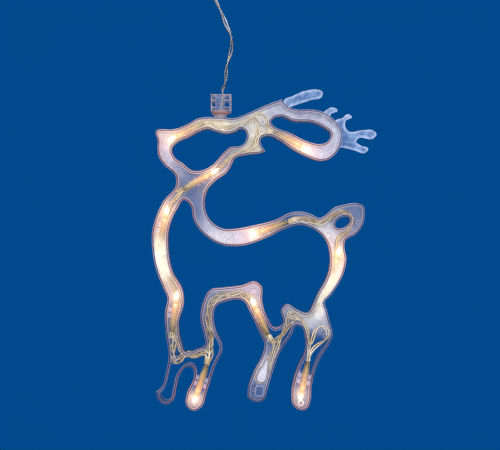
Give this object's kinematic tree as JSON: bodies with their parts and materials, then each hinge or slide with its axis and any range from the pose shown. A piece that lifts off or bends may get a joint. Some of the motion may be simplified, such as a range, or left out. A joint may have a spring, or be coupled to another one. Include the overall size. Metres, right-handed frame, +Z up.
{
  "type": "window silhouette light",
  "caption": "Lit reindeer outline in clear moulded plastic channel with mini lamps and wires inside, hung by a swivel hub and twisted lead from a suction cup hook.",
  "frame": {"origin": "centre of the suction cup's flat face, where it sits on the window pane", "axes": "+Y into the pane, +Z up, +X from the reindeer's nose towards its tail"},
  "size_m": [0.226, 0.0204, 0.495],
  "materials": {
    "clear_plastic": "clear moulded plastic, glossy",
    "hub_plastic": "clear moulded plastic, glossy",
    "wire_insulation": "thin clear insulation over copper",
    "lead_insulation": "thin clear insulation over tinned strands",
    "holder_plastic": "translucent plastic",
    "base_plastic": "translucent plastic",
    "bulb_glass": "clear glass",
    "tie_plastic": "satin",
    "plug_plastic": "satin",
    "plug_brass": "bright",
    "fuse_glass": "clear glass with metal caps",
    "cup_vinyl": "soft clear vinyl",
    "hook_plastic": "clear plastic, glossy"
  },
  "bodies": {
    "hanger": {"suction_cup": "cup_vinyl", "suction_hook": "hook_plastic", "hub_body": "hub_plastic", "hub_neck": "hub_plastic", "hub_wires": "wire_insulation", "lead_cord": "lead_insulation", "lead_coil": "lead_insulation", "lead_tail": "lead_insulation", "lead_tie": "tie_plastic", "plug_body": "plug_plastic", "plug_blade_1": "plug_brass", "plug_blade_2": "plug_brass", "fuse_1": "fuse_glass", "fuse_2": "fuse_glass"},
    "reindeer": {"rear_shell": "clear_plastic", "front_cover": "clear_plastic", "lamp_holder_01": "holder_plastic", "lamp_base_01": "base_plastic", "lamp_bulb_01": "bulb_glass", "lamp_holder_02": "holder_plastic", "lamp_base_02": "base_plastic", "lamp_bulb_02": "bulb_glass", "lamp_holder_03": "holder_plastic", "lamp_base_03": "base_plastic", "lamp_bulb_03": "bulb_glass", "lamp_holder_04": "holder_plastic", "lamp_base_04": "base_plastic", "lamp_bulb_04": "bulb_glass", "lamp_holder_05": "holder_plastic", "lamp_base_05": "base_plastic", "lamp_bulb_05": "bulb_glass", "lamp_holder_06": "holder_plastic", "lamp_base_06": "base_plastic", "lamp_bulb_06": "bulb_glass", "lamp_holder_07": "holder_plastic", "lamp_base_07": "base_plastic", "lamp_bulb_07": "bulb_glass", "lamp_holder_08": "holder_plastic", "lamp_base_08": "base_plastic", "lamp_bulb_08": "bulb_glass", "lamp_holder_09": "holder_plastic", "lamp_base_09": "base_plastic", "lamp_bulb_09": "bulb_glass", "lamp_holder_10": "holder_plastic", "lamp_base_10": "base_plastic", "lamp_bulb_10": "bulb_glass", "string_wire_01": "wire_insulation", "string_wire_02": "wire_insulation", "string_wire_03": "wire_insulation", "string_wire_04": "wire_insulation", "string_wire_05": "wire_insulation", "string_wire_06": "wire_insulation", "string_wire_07": "wire_insulation", "string_wire_08": "wire_insulation", "string_wire_09": "wire_insulation", "string_wire_10": "wire_insulation", "return_wire": "wire_insulation"},
    "fuse_door": {"fuse_door": "plug_plastic"}
  },
  "joints": [
    {"name": "hub_swivel", "type": "hinge", "parent": "hanger", "child": "reindeer", "pos_m": [0.009, -0.009, -0.184], "axis": [0, 0, 1], "range_deg": [-90, 90]},
    {"name": "fuse_door_slide", "type": "slide", "parent": "hanger", "child": "fuse_door", "axis": [0, 0, -1], "range_m": [0, 0.012]}
  ]
}
